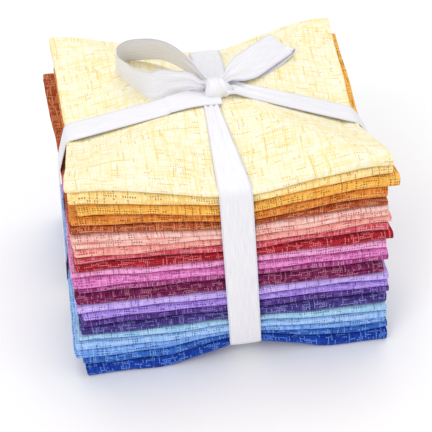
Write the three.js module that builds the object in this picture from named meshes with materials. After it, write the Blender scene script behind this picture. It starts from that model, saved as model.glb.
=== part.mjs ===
// A tied bundle of fat quarters: folded cuts of quilting cotton in a pile, held both ways round by one
// satin ribbon that ends in a bow. Millimetres, +Z up, the front of the bundle towards -Y.
//
// Each cut is 457 x 559 mm, folded in three across its short side and in four along its long side, so a
// folded cut has twelve plies. Its section from back to front is a book fold: four layers of three plies,
// the outer pair wrapped round the inner pair at the front, with one small fold and the two raw ends at
// the back.
//
// The pile is drawn level first. The squeeze of the ribbon is then one shape change for all the cuts:
// their edges are pressed down at the top, lifted at the bottom and drawn in, most where a band crosses an
// edge and not at all in the corners and at the knot.

import * as THREE from 'three';

// Driving sizes
const CUT_WIDTH = 457.2;
const CUT_LENGTH = 558.8;
const FOLDS_ACROSS = 3;
const FOLDS_ALONG = 4;
const FOLDED_WIDTH = CUT_WIDTH / FOLDS_ACROSS;
const FOLD_SPREAD = 2;
const FOLDED_DEPTH = CUT_LENGTH / FOLDS_ALONG + FOLD_SPREAD;
const PILE_HEIGHT = 115;
const CUT_GAP = 0.8;

const RIBBON_WIDTH = 15.9;
const RIBBON_THICK = 0.8;
const CLEARANCE = 0.35;
const BAND_CLEARANCE = 0.7;

const TOP_DIP = 13.5;
const BOTTOM_LIFT = 9.3;
const BOTTOM_GROOVE = 3.6;
const EDGE_PULL = 3.5;
const TOP_REACH = 0.65;
const TOP_FADE = 1.8;
const BOTTOM_REACH = 0.26;
const BOTTOM_FADE = 1.4;
const LIFT_REACH = 30;

const FRONT_BAND = { topX: 4.2, topDrift: 2.5, bottomX: 5.5, bottomDrift: 0.5 };
const SIDE_BAND = { splitX: 9.5, leftY: -5.2, rightStartX: 13, rightY: 1, rightSlope: -0.19 };

const KNOT = { x: 4, y: 0, halfX: 8, halfY: 6.5, height: 7.6, flatAt: -0.45, around: 14, upright: 8 };
const BAND_HALF = RIBBON_WIDTH / 2 + 1;

const HALF_WIDTH = FOLDED_WIDTH / 2;
const HALF_DEPTH = FOLDED_DEPTH / 2;
const RIM_X = HALF_WIDTH - 8;
const RIM_Y = HALF_DEPTH - 4;

const SAME_LINE = 1e-4;
const MITER_LIMIT = 0.6;
const TURN_LENGTH = 2.5;

// One row for each folded cut, from the top of the pile to the bottom. Left and right say how far the two
// ends stand out past the nominal width (negative is set back), front is the same for the folded edge,
// skew is how far the two ends lean off square in degrees, and thick is how thick the fold looks at the
// left and the right end of its front edge.
const CUTS = [
  { name: 'cream', color: 0xfbf5c8, left: 0.0, right: 0.0, front: 0.6, skew: 0.0, thick: [5.2, 5.2] },
  { name: 'lemon', color: 0xf9e7a8, left: -1.0, right: 0.7, front: 0.1, skew: 0.1, thick: [7.4, 5.2] },
  { name: 'gold', color: 0xf0b64a, left: -4.6, right: 4.2, front: 0.6, skew: -0.2, thick: [5.8, 6.9] },
  { name: 'orange', color: 0xe0923c, left: -0.5, right: -1.0, front: 0.0, skew: 0.0, thick: [5.0, 6.1] },
  { name: 'rust', color: 0xa34a26, left: 3.2, right: -3.8, front: -0.1, skew: 2.4, thick: [4.8, 3.8] },
  { name: 'blush', color: 0xf6cfc8, left: 0.4, right: -0.5, front: 0.7, skew: 0.2, thick: [8.0, 6.5] },
  { name: 'salmon', color: 0xe58a80, left: 0.0, right: 0.2, front: 0.1, skew: 0.6, thick: [5.6, 4.2] },
  { name: 'coral', color: 0xc9505a, left: -0.6, right: 0.0, front: -0.5, skew: -0.3, thick: [3.9, 4.7] },
  { name: 'crimson', color: 0xa0182c, left: 0.3, right: 1.9, front: 0.3, skew: 0.4, thick: [4.6, 5.5] },
  { name: 'shell', color: 0xf0b2de, left: 1.6, right: 0.1, front: -0.4, skew: -0.6, thick: [4.0, 4.9] },
  { name: 'orchid', color: 0xe98bd6, left: 2.1, right: -0.6, front: 0.5, skew: 0.2, thick: [5.8, 4.2] },
  { name: 'magenta', color: 0xb450b8, left: 0.2, right: 0.0, front: -0.7, skew: 0.5, thick: [3.8, 4.1] },
  { name: 'wine', color: 0x701348, left: 0.9, right: -1.1, front: 0.4, skew: -0.3, thick: [6.3, 6.7] },
  { name: 'lilac', color: 0xc9bcf2, left: 1.7, right: 0.0, front: 0.2, skew: 0.4, thick: [5.7, 5.1] },
  { name: 'lavender', color: 0xab93e6, left: -2.0, right: -0.3, front: 0.0, skew: -0.5, thick: [4.6, 3.9] },
  { name: 'violet', color: 0x7653b6, left: -0.4, right: -0.6, front: -0.6, skew: 0.3, thick: [3.8, 4.3] },
  { name: 'plum', color: 0x351a63, left: 1.3, right: -2.6, front: 0.4, skew: 0.5, thick: [5.1, 6.6] },
  { name: 'aqua', color: 0xbfe4ee, left: 1.8, right: -1.2, front: 0.1, skew: -0.4, thick: [4.1, 4.9] },
  { name: 'powder', color: 0xa9cff2, left: 4.0, right: -1.9, front: 0.7, skew: 0.2, thick: [5.4, 4.5] },
  { name: 'sky', color: 0x93bdf0, left: 4.3, right: -1.6, front: -0.2, skew: -0.5, thick: [5.4, 3.9] },
  { name: 'azure', color: 0x3f7fd6, left: 1.4, right: -0.7, front: -0.6, skew: 0.4, thick: [5.3, 3.8] },
  { name: 'royal', color: 0x1a3f9c, left: 0.0, right: 0.0, front: 0.3, skew: 0.0, thick: [6.6, 6.6] },
];

// The book-fold section of one cut, as the two faces of its cloth from the raw end of the bottom layer to
// the raw end of the second one. At says where along the depth a point lies: at the front fold, at the
// back, or where the side-to-side band crosses (nearBand on its front side, farBand behind it). Cuts low
// in the pile also have points where the lift of the band ends (nearLift and farLift). Inset is the
// distance in from the front or the back, and s is the height in the folded cut, 0 to 1.
const LAYER = 0.19;
const SLIT = (1 - 4 * LAYER) / 3;
const LEVELS = [0, 1, 2, 3].map((i) => ({ low: i * (LAYER + SLIT), high: i * (LAYER + SLIT) + LAYER }));
const MIDDLE = 0.5;
const OUTER_FOLD = { round: 2.6, shoulder: 0.75, wall: 1.0, bend: 1.4 };
const SHOULDER_S = 0.16;
const BEND_S = 0.3;
const INNER_FOLD = { start: 1.75, round: 2.9, wallEnd: 2.4, slitEnd: 3.2 };
const BACK_FOLD = { round: 1.2, wall: 1.05, slitEnd: 1.4 };
const RAW_SETBACK = 0.8;

const ACROSS = {
  nearLift: -BAND_HALF - LIFT_REACH,
  nearBand: -BAND_HALF,
  farBand: BAND_HALF,
  farLift: BAND_HALF + LIFT_REACH,
};

function acrossForward(s, low) {
  const across = [{ at: 'farBand', s }, { at: 'nearBand', s }];
  return low ? [{ at: 'farLift', s }, ...across, { at: 'nearLift', s }] : across;
}

function acrossBackward(s, low) {
  return acrossForward(s, low).reverse();
}

function outerFace(low) {
  const [, second, third, top] = LEVELS;
  const backFoldMiddle = (third.high + top.low) / 2;
  return [
    { at: 'back', inset: 0, s: 0 },
    ...acrossForward(0, low),
    { at: 'front', inset: OUTER_FOLD.round, s: 0 },
    { at: 'front', inset: OUTER_FOLD.shoulder, s: SHOULDER_S },
    { at: 'front', inset: 0, s: MIDDLE },
    { at: 'front', inset: OUTER_FOLD.shoulder, s: 1 - SHOULDER_S },
    { at: 'front', inset: OUTER_FOLD.round, s: 1 },
    ...acrossBackward(1, low),
    { at: 'back', inset: BACK_FOLD.round, s: 1 },
    { at: 'back', inset: 0, s: backFoldMiddle },
    { at: 'back', inset: BACK_FOLD.round, s: third.low },
    ...acrossForward(third.low, low),
    { at: 'front', inset: INNER_FOLD.slitEnd, s: third.low },
    { at: 'front', inset: INNER_FOLD.wallEnd, s: MIDDLE },
    { at: 'front', inset: INNER_FOLD.slitEnd, s: second.high },
    ...acrossBackward(second.high, low),
    { at: 'back', inset: RAW_SETBACK, s: second.high },
  ];
}

function innerFace(low) {
  const [bottom, second, third, top] = LEVELS;
  const backFoldMiddle = (third.high + top.low) / 2;
  return [
    { at: 'back', inset: 0, s: bottom.high },
    ...acrossForward(bottom.high, low),
    { at: 'front', inset: OUTER_FOLD.round, s: bottom.high },
    { at: 'front', inset: OUTER_FOLD.bend, s: BEND_S },
    { at: 'front', inset: OUTER_FOLD.wall, s: MIDDLE },
    { at: 'front', inset: OUTER_FOLD.bend, s: 1 - BEND_S },
    { at: 'front', inset: OUTER_FOLD.round, s: top.low },
    ...acrossBackward(top.low, low),
    { at: 'back', inset: BACK_FOLD.slitEnd, s: top.low },
    { at: 'back', inset: BACK_FOLD.wall, s: backFoldMiddle },
    { at: 'back', inset: BACK_FOLD.slitEnd, s: third.high },
    ...acrossForward(third.high, low),
    { at: 'front', inset: INNER_FOLD.round, s: third.high },
    { at: 'front', inset: INNER_FOLD.start, s: MIDDLE },
    { at: 'front', inset: INNER_FOLD.round, s: second.low },
    ...acrossBackward(second.low, low),
    { at: 'back', inset: RAW_SETBACK, s: second.low },
  ];
}

function bookFoldOutline(low) {
  return [...outerFace(low), ...innerFace(low).reverse()];
}

// Where the middle of each band runs. The front-to-back band drifts a little to the right on its way
// round. The side-to-side band has a straight left strand, which ends under the knot, and a right strand
// that starts farther back and comes forward on its way to the edge.
function frontBandX(y, z) {
  const topX = FRONT_BAND.topX + (FRONT_BAND.topDrift * y) / HALF_DEPTH;
  const bottomX = FRONT_BAND.bottomX + (FRONT_BAND.bottomDrift * y) / HALF_DEPTH;
  return THREE.MathUtils.lerp(bottomX, topX, z / PILE_HEIGHT);
}

function sideBandY(x) {
  const { splitX, leftY, rightStartX, rightY, rightSlope } = SIDE_BAND;
  return x < splitX ? leftY : rightY + rightSlope * (x - rightStartX);
}

// The share of the way out from the edge of a band to the rim of the pile, 0 to 1. The rim itself is moved
// as one, so that the ends of the cuts may stand out or lie back without touching.
function shareOut(place, bandPlace, rim) {
  const distance = THREE.MathUtils.clamp(place, -rim, rim) - bandPlace;
  const reach = rim - Math.sign(distance) * bandPlace;
  return Math.max(0, Math.abs(distance) - BAND_HALF) / (reach - BAND_HALF);
}

// How much of the lift under the pile is left at a place beside a band.
function liftShare(distance) {
  return Math.max(0, 1 - Math.max(0, Math.abs(distance) - BAND_HALF) / LIFT_REACH);
}

// The squeeze of the ribbon. The dip of the top grows from the knot out along both bands to the edges that
// they cross, and is nothing on the four ridges that run from the knot to the corners.
function squeeze(x, y, z) {
  const bandX = frontBandX(y, z);
  const bandY = sideBandY(x);
  const t = z / PILE_HEIGHT;
  const topShare = Math.pow(Math.max(0, (t - 1 + TOP_REACH) / TOP_REACH), TOP_FADE);
  const bottomShare = Math.pow(Math.max(0, 1 - t / BOTTOM_REACH), BOTTOM_FADE);
  const outX = shareOut(x, bandX, RIM_X);
  const outY = shareOut(y, bandY, RIM_Y);
  const leftRight = Math.max(0, outX - outY);
  const frontBack = Math.max(0, outY - outX);
  const liftX = liftShare(x - bandX);
  const liftY = liftShare(y - bandY);
  const groove = BOTTOM_GROOVE * Math.max(liftX, liftY);
  const edgeLift = BOTTOM_LIFT * Math.max(liftX * outY, liftY * outX);
  const lift = Math.max(groove, edgeLift);
  const pull = EDGE_PULL * topShare;
  return new THREE.Vector3(
    x - Math.sign(x - bandX) * pull * leftRight,
    y - Math.sign(y - bandY) * pull * frontBack,
    z - TOP_DIP * (leftRight + frontBack) * topShare + lift * bottomShare,
  );
}

// Height of the underside of each cut in the level pile. The uneven thickness belongs to the front folds
// and evens out towards the back.
function runningHeights(side) {
  const total = CUTS.reduce((sum, cut) => sum + cut.thick[side], 0);
  let used = 0;
  return CUTS.map((cut) => {
    used += (cut.thick[side] / total) * PILE_HEIGHT;
    return PILE_HEIGHT - used;
  });
}

const UNDERSIDE_LEFT = runningHeights(0);
const UNDERSIDE_RIGHT = runningHeights(1);

function underside(index, x, y) {
  if (index < 0) {
    return PILE_HEIGHT;
  }
  const across = x / FOLDED_WIDTH + 0.5;
  const uneven = THREE.MathUtils.lerp(UNDERSIDE_LEFT[index], UNDERSIDE_RIGHT[index], across);
  const even = PILE_HEIGHT * (1 - (index + 1) / CUTS.length);
  const forward = 0.6 - (0.4 * y) / HALF_DEPTH;
  return THREE.MathUtils.lerp(even, uneven, forward);
}

// The squeezed place of one outline point of a cut, at a given distance along the pile's width.
function clothPoint(index, x, point) {
  const cut = CUTS[index];
  let y = 0;
  if (point.at === 'front') {
    y = -HALF_DEPTH - cut.front + point.inset;
  } else if (point.at === 'back') {
    y = HALF_DEPTH - cut.front / 2 - point.inset;
  } else {
    y = sideBandY(x) + ACROSS[point.at];
  }
  const low = underside(index, x, y) + CUT_GAP / 2;
  const high = underside(index - 1, x, y) - CUT_GAP / 2;
  const z = THREE.MathUtils.lerp(low, high, point.s) - CUT_GAP / 2;
  return squeeze(x, y, z);
}

function isLow(index) {
  return underside(index, 0, 0) < PILE_HEIGHT * BOTTOM_REACH;
}

// Places along the width where a cut's section is drawn: its two ends, a little in from them, both sides
// of the front-to-back band and, low in the pile, the end of the stretch that the band lifts.
function widthStations(index) {
  const cut = CUTS[index];
  const skew = Math.tan(THREE.MathUtils.degToRad(cut.skew));
  const lifted = (side) => (y, z) => frontBandX(y, z) + side * (BAND_HALF + LIFT_REACH);
  const low = isLow(index);
  return [
    (y) => -HALF_WIDTH - cut.left - y * skew,
    () => -RIM_X,
    ...(low ? [lifted(-1)] : []),
    (y, z) => frontBandX(y, z) - BAND_HALF,
    (y, z) => frontBandX(y, z) + BAND_HALF,
    ...(low ? [lifted(1)] : []),
    () => RIM_X,
    (y) => HALF_WIDTH + cut.right - y * skew,
  ];
}

function nominalY(point) {
  if (point.at === 'front') {
    return -HALF_DEPTH + point.inset;
  }
  return point.at === 'back' ? HALF_DEPTH - point.inset : KNOT.y;
}

function cutRings(index) {
  const outline = bookFoldOutline(isLow(index));
  return widthStations(index).map((station) =>
    outline.map((point) => {
      const y = nominalY(point);
      const z = underside(index, 0, y);
      return clothPoint(index, station(y, z), point);
    }),
  );
}

// A closed body through a row of rings with the same even number of points. A ring is the outline of a
// strip of cloth, up one face and back down the other, so each end is closed by the quads between the two
// faces. A quad of the skin is split from its corner nearest to the knot to its farthest corner, so that a
// ridge runs out to each corner of the pile and faces that lie on each other are split alike.
function ringSolid(rings) {
  const count = rings[0].length;
  const positions = [];
  const faces = [];
  const quad = (a, b, c, d) => faces.push(a, b, c, a, c, d);
  const fromKnot = (p) => Math.abs(p.x - KNOT.x) + Math.abs(p.y - KNOT.y);
  for (const ring of rings) {
    for (const p of ring) {
      positions.push(p.x, p.y, p.z);
    }
  }
  for (let r = 0; r + 1 < rings.length; r += 1) {
    for (let i = 0; i < count; i += 1) {
      const next = (i + 1) % count;
      const [a, b] = [r * count + i, r * count + next];
      const corners = [rings[r][i], rings[r][next], rings[r + 1][next], rings[r + 1][i]];
      const distances = corners.map(fromKnot);
      const nearest = distances.indexOf(Math.min(...distances));
      if (nearest % 2 === 0) {
        quad(a, b, b + count, a + count);
      } else {
        quad(b, b + count, a + count, a);
      }
    }
  }
  const last = (rings.length - 1) * count;
  for (let i = 0; i + 1 < count / 2; i += 1) {
    const [a, b, c, d] = [i, i + 1, count - 2 - i, count - 1 - i];
    quad(d, c, b, a);
    quad(last + a, last + b, last + c, last + d);
  }
  const geometry = new THREE.BufferGeometry();
  geometry.setAttribute('position', new THREE.Float32BufferAttribute(positions, 3));
  geometry.setIndex(faces);
  return outwardFaces(geometry);
}

function signedVolume(geometry) {
  const at = geometry.getAttribute('position');
  const index = geometry.getIndex();
  const corner = (i) => new THREE.Vector3().fromBufferAttribute(at, index.getX(i));
  let volume = 0;
  for (let i = 0; i < index.count; i += 3) {
    volume += corner(i).dot(corner(i + 1).cross(corner(i + 2))) / 6;
  }
  return volume;
}

function outwardFaces(geometry) {
  if (signedVolume(geometry) < 0) {
    const index = geometry.getIndex();
    for (let i = 0; i < index.count; i += 3) {
      const second = index.getX(i + 1);
      index.setX(i + 1, index.getX(i + 2));
      index.setX(i + 2, second);
    }
  }
  geometry.computeVertexNormals();
  return geometry;
}

// Height of the squeezed pile's top at a place on it.
function topHeight(x, y) {
  return squeeze(x, y, PILE_HEIGHT - CUT_GAP).z;
}

// The outer hull of points in a plane, walked once round, and its outline moved outwards by a distance.
function hull(points) {
  const sorted = [...points].sort((p, q) => p.x - q.x || p.y - q.y);
  const turnOf = (o, a, b) => (a.x - o.x) * (b.y - o.y) - (a.y - o.y) * (b.x - o.x);
  const chain = (list) => {
    const kept = [];
    for (const p of list) {
      while (kept.length > 1 && turnOf(kept[kept.length - 2], kept[kept.length - 1], p) <= SAME_LINE) {
        kept.pop();
      }
      kept.push(p);
    }
    kept.pop();
    return kept;
  };
  return [...chain(sorted), ...chain(sorted.reverse())];
}

function movedOut(outline, distance) {
  return outline.map((p, i) => {
    const before = outline[(i + outline.length - 1) % outline.length];
    const after = outline[(i + 1) % outline.length];
    const inward = p.clone().sub(before).normalize();
    const onward = after.clone().sub(p).normalize();
    const normal = new THREE.Vector2(inward.y + onward.y, -inward.x - onward.x).normalize();
    const miter = Math.max(MITER_LIMIT, normal.dot(new THREE.Vector2(inward.y, -inward.x)));
    return p.clone().addScaledVector(normal, distance / miter);
  });
}

// The hull as an open path that starts on the top on one side of the knot, runs all the way round under
// the pile and ends on the top on the other side of it.
function pathRoundKnot(outline, start, end) {
  const count = outline.length;
  const onTop = (u) => {
    for (let i = 0; i < count; i += 1) {
      const p = outline[i];
      const q = outline[(i + 1) % count];
      if (q.x < p.x && q.x <= u && u < p.x) {
        const share = (p.x - u) / (p.x - q.x);
        return { index: i, point: p.clone().lerp(q, share) };
      }
    }
    return null;
  };
  const first = onTop(start);
  const final = onTop(end);
  const between = ((final.index - first.index + count - 1) % count) + 1;
  const corners = Array.from({ length: between }, (_, i) => outline[(first.index + 1 + i) % count]);
  return [first.point, ...corners, final.point];
}

// The way a ribbon runs at one of its places.
function alongAt(places, i) {
  const before = places[Math.max(0, i - 1)];
  const after = places[Math.min(places.length - 1, i + 1)];
  return after.clone().sub(before).normalize();
}

// A strip of ribbon as a closed body. Each station has a place, the direction of its width, and its width
// there.
function stripSolid(stations, thickness) {
  const places = stations.map((station) => station.place);
  const rings = stations.map(({ place, across, width }, i) => {
    const normal = new THREE.Vector3().crossVectors(alongAt(places, i), across).normalize();
    const corners = [[-0.5, -0.5], [0.5, -0.5], [0.5, 0.5], [-0.5, 0.5]];
    return corners.map(([u, v]) =>
      place
        .clone()
        .addScaledVector(across, u * width)
        .addScaledVector(normal, v * thickness),
    );
  });
  return ringSolid(rings);
}

function bandStations(path, placeOf, across) {
  return path.map((p) => ({ place: placeOf(p), across, width: RIBBON_WIDTH }));
}

const BAND_OUT = BAND_CLEARANCE + RIBBON_THICK / 2;

// The side-to-side band lies against the cloth all round.
function sideBandPath() {
  const points = [];
  const outline = bookFoldOutline(false).filter((point) => point.at in ACROSS);
  CUTS.forEach((cut, index) => {
    for (const station of widthStations(index)) {
      for (const point of outline) {
        const placed = clothPoint(index, station(KNOT.y, underside(index, 0, 0)), point);
        points.push(new THREE.Vector2(placed.x, placed.z));
      }
    }
  });
  const around = movedOut(hull(points), BAND_OUT);
  return pathRoundKnot(around, SIDE_BAND.splitX - CLEARANCE, SIDE_BAND.rightStartX);
}

function sideBand(path) {
  const placeOf = (p) => new THREE.Vector3(p.x, sideBandY(p.x), p.y);
  return stripSolid(bandStations(path, placeOf, new THREE.Vector3(0, 1, 0)), RIBBON_THICK);
}

// The front-to-back band lies against the cloth. It starts and ends beside the left strand of the other
// band, and under the pile it passes below that band.
function frontBand(sidePath) {
  const points = [];
  CUTS.forEach((cut, index) => {
    for (const point of bookFoldOutline(isLow(index))) {
      for (const side of [-1, 1]) {
        const x = frontBandX(nominalY(point), underside(index, 0, 0)) + (side * RIBBON_WIDTH) / 2;
        const placed = clothPoint(index, x, point);
        points.push(new THREE.Vector2(placed.y, placed.z));
      }
    }
  });
  const lowest = Math.min(...sidePath.map((p) => p.y)) - RIBBON_THICK / 2;
  points.push(new THREE.Vector2(SIDE_BAND.leftY - BAND_HALF, lowest));
  points.push(new THREE.Vector2(SIDE_BAND.rightY + BAND_HALF, lowest));
  const around = movedOut(hull(points), BAND_OUT);
  const beside = RIBBON_WIDTH / 2 + CLEARANCE;
  const path = pathRoundKnot(around, SIDE_BAND.leftY - beside, SIDE_BAND.leftY + beside);
  const placeOf = (p) => new THREE.Vector3(frontBandX(p.x, p.y), p.x, p.y);
  return stripSolid(bandStations(path, placeOf, new THREE.Vector3(1, 0, 0)), RIBBON_THICK);
}

// The knot is a flattened ball with a level underside, seated on the bands where they meet.
function knotGeometry() {
  const { flatAt } = KNOT;
  const geometry = new THREE.SphereGeometry(1, KNOT.around, KNOT.upright);
  geometry.rotateX(Math.PI / 2);
  const at = geometry.getAttribute('position');
  for (let i = 0; i < at.count; i += 1) {
    at.setZ(i, Math.max(flatAt, at.getZ(i)));
  }
  const rise = KNOT.height / (1 - flatAt);
  geometry.scale(KNOT.halfX, KNOT.halfY, rise);
  const seat = topHeight(KNOT.x, KNOT.y) + BAND_CLEARANCE + RIBBON_THICK + CLEARANCE;
  geometry.translate(KNOT.x, KNOT.y, seat - flatAt * rise);
  return geometry;
}

// The two loops of the bow. Each row is a place along the loop: x and y on the pile, rise of the ribbon's
// middle above the knot's seat, lean of its width from level in degrees (90 stands on edge), and its width
// there.
const LEFT_LOOP = [
  { x: -4.4, y: 0.6, rise: 6.2, lean: 82, width: 5.6 },
  { x: -9.2, y: 3.6, rise: 6.8, lean: 78, width: 9.8 },
  { x: -15.6, y: 6, rise: 5.4, lean: 74, width: 13 },
  { x: -21.8, y: 6.8, rise: 4.5, lean: 70, width: 15.9 },
  { x: -27.6, y: 7.4, rise: 3.5, lean: 70, width: 15.9 },
  { x: -33.4, y: 12, rise: 4.1, lean: 86, width: 15.9 },
  { x: -38, y: 18.4, rise: 5, lean: 82, width: 15.9 },
  { x: -42, y: 25.6, rise: 5.7, lean: 82, width: 15.9 },
  { x: -43.2, y: 32, rise: 6.8, lean: 98, width: 15.9 },
  { x: -38.4, y: 36.8, rise: 8.1, lean: 108, width: 15.9 },
  { x: -30, y: 38.2, rise: 6.6, lean: 108, width: 15.9 },
  { x: -20.4, y: 34.4, rise: 6.6, lean: 110, width: 15.9 },
  { x: -13.2, y: 27.4, rise: 6.8, lean: 76, width: 14.4 },
  { x: -6.8, y: 17, rise: 6.8, lean: 82, width: 10.6 },
  { x: -1.4, y: 6.4, rise: 6.1, lean: 90, width: 5.6 },
];

const RIGHT_LOOP = [
  { x: 10.3, y: 4, rise: 6.3, lean: 12, width: 5.6 },
  { x: 15.6, y: 9.4, rise: 5.4, lean: 26, width: 12 },
  { x: 22.6, y: 16.4, rise: 4.8, lean: 30, width: 15.9 },
  { x: 31, y: 24.6, rise: 4.6, lean: 32, width: 15.9 },
  { x: 38.6, y: 32, rise: 4.4, lean: 32, width: 15.9 },
  { x: 43.4, y: 36.8, rise: 3.8, lean: 26, width: 15.9 },
  { x: 44.6, y: 38, rise: 2.5, lean: 18, width: 15.9 },
  { x: 42, y: 35.4, rise: 1.3, lean: 16, width: 15.9 },
  { x: 34.6, y: 28, rise: 0.9, lean: 20, width: 15.9 },
  { x: 26.6, y: 20.2, rise: 1, lean: 20, width: 14 },
  { x: 19, y: 12.8, rise: 2, lean: 14, width: 10 },
  { x: 11.9, y: 5.8, rise: 4.2, lean: 4, width: 5.2 },
];

function loopGeometry(table) {
  const seat = topHeight(KNOT.x, KNOT.y);
  const places = table.map((row) => new THREE.Vector3(row.x, row.y, seat + row.rise));
  const stations = table.map((row, i) => {
    const before = places[Math.max(0, i - 1)];
    const after = places[Math.min(places.length - 1, i + 1)];
    const flatAlong = new THREE.Vector3(after.x - before.x, after.y - before.y, 0);
    if (flatAlong.length() < TURN_LENGTH) {
      flatAlong.set(row.x - KNOT.x, row.y - KNOT.y, 0);
    }
    const level = new THREE.Vector3(-flatAlong.y, flatAlong.x, 0).normalize();
    const lean = THREE.MathUtils.degToRad(row.lean);
    const towards = level.dot(new THREE.Vector3(-1, 1, 0)) < 0 ? -1 : 1;
    const leaning = level.multiplyScalar(towards * Math.cos(lean)).setZ(Math.sin(lean));
    const along = alongAt(places, i);
    const across = leaning.addScaledVector(along, -leaning.dot(along)).normalize();
    return { place: places[i], across, width: row.width };
  });
  return stripSolid(stations, RIBBON_THICK);
}

// Materials
const COTTON = { roughness: 0.92, metalness: 0 };
const SATIN = { color: 0xf4f2f8, roughness: 0.42, metalness: 0 };

function piece(name, geometry, finish) {
  const mesh = new THREE.Mesh(geometry, new THREE.MeshStandardMaterial(finish));
  mesh.name = name;
  return mesh;
}

const bundle = new THREE.Group();
CUTS.forEach((cut, index) => {
  const number = String(index + 1).padStart(2, '0');
  bundle.add(piece(`cut_${number}_${cut.name}`, ringSolid(cutRings(index)), { color: cut.color, ...COTTON }));
});
const sidePath = sideBandPath();
bundle.add(piece('ribbon_side_band', sideBand(sidePath), SATIN));
bundle.add(piece('ribbon_front_band', frontBand(sidePath), SATIN));
bundle.add(piece('ribbon_knot', knotGeometry(), SATIN));
bundle.add(piece('ribbon_left_loop', loopGeometry(LEFT_LOOP), SATIN));
bundle.add(piece('ribbon_right_loop', loopGeometry(RIGHT_LOOP), SATIN));

// The origin is the middle of the bundle's box, on the surface that it stands on.
const box = new THREE.Box3().setFromObject(bundle, true);
const centre = box.getCenter(new THREE.Vector3());
bundle.position.set(-centre.x, -centre.y, -box.min.z);

const group = new THREE.Group();
group.add(bundle);

export default group;
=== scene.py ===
"""A tied bundle of fat quarters: folded cuts of quilting cotton in a pile, held by one satin ribbon.

Shapes are worked out in millimetres in the CAD model's own axes, with +Z up and the front towards -Y, and
turned into metres when a mesh is made. Each cut is a real sheet, folded in three across and in four along, so
every ply is there.
"""

import functools
import math

import bpy
import numpy as np
from mathutils import Matrix, Vector


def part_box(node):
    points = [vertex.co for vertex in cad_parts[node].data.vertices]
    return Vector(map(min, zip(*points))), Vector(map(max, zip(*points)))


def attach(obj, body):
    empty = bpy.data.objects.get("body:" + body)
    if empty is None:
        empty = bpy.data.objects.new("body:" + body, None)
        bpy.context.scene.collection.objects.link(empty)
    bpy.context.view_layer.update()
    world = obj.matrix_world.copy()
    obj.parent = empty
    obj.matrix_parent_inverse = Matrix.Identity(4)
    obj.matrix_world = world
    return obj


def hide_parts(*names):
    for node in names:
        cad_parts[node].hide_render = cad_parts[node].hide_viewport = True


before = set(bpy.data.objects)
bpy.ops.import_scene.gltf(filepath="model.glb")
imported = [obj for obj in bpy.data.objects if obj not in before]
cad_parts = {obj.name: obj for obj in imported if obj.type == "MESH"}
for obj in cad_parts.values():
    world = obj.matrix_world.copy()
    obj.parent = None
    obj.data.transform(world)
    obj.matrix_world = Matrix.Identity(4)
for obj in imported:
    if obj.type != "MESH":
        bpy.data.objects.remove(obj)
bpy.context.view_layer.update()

# Driving sizes. The ribbon is thinner than the CAD model's, and the side band's left end is its own.
CUT_WIDTH = 457.2
CUT_LENGTH = 558.8
PLIES = 3
LAYERS = 4
FOLDED_WIDTH = CUT_WIDTH / PLIES
FOLDED_DEPTH = CUT_LENGTH / LAYERS + 2
HALF_WIDTH = FOLDED_WIDTH / 2
HALF_DEPTH = FOLDED_DEPTH / 2
PILE_HEIGHT = 115
CUT_GAP = 0.8

RIBBON_WIDTH = 15.9
RIBBON_THICK = 0.3
BAND_HALF = RIBBON_WIDTH / 2 + 1
FRONT_BAND = dict(top_x=4.2, top_drift=2.5, bottom_x=5.5, bottom_drift=0.5)
SIDE_BAND = dict(left_y=-5.2, left_end_x=5, right_start_x=13, right_y=1, right_slope=-0.19)
KNOT = dict(x=4, y=0, half_x=8, half_y=6.5, height=7.6)
BANDS_UNDER_KNOT = 1.5

# How the tied ribbon squeezes the pile, as in the CAD model
TOP_DIP = 13.5
BOTTOM_LIFT = 9.3
BOTTOM_GROOVE = 3.6
EDGE_PULL = 3.5
TOP_REACH = 0.65
TOP_FADE = 1.8
BOTTOM_REACH = 0.26
BOTTOM_FADE = 1.4
LIFT_REACH = 30
RIM_X = HALF_WIDTH - 8
RIM_Y = HALF_DEPTH - 4

# Of this scene alone: how round the ridges between the pressed sides are, and how far the pile leans, as a
# share of its height, up at the left edge and down at the right one
RIDGE_SOFTNESS = 0.12
SIDE_LEAN = 0.018

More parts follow.
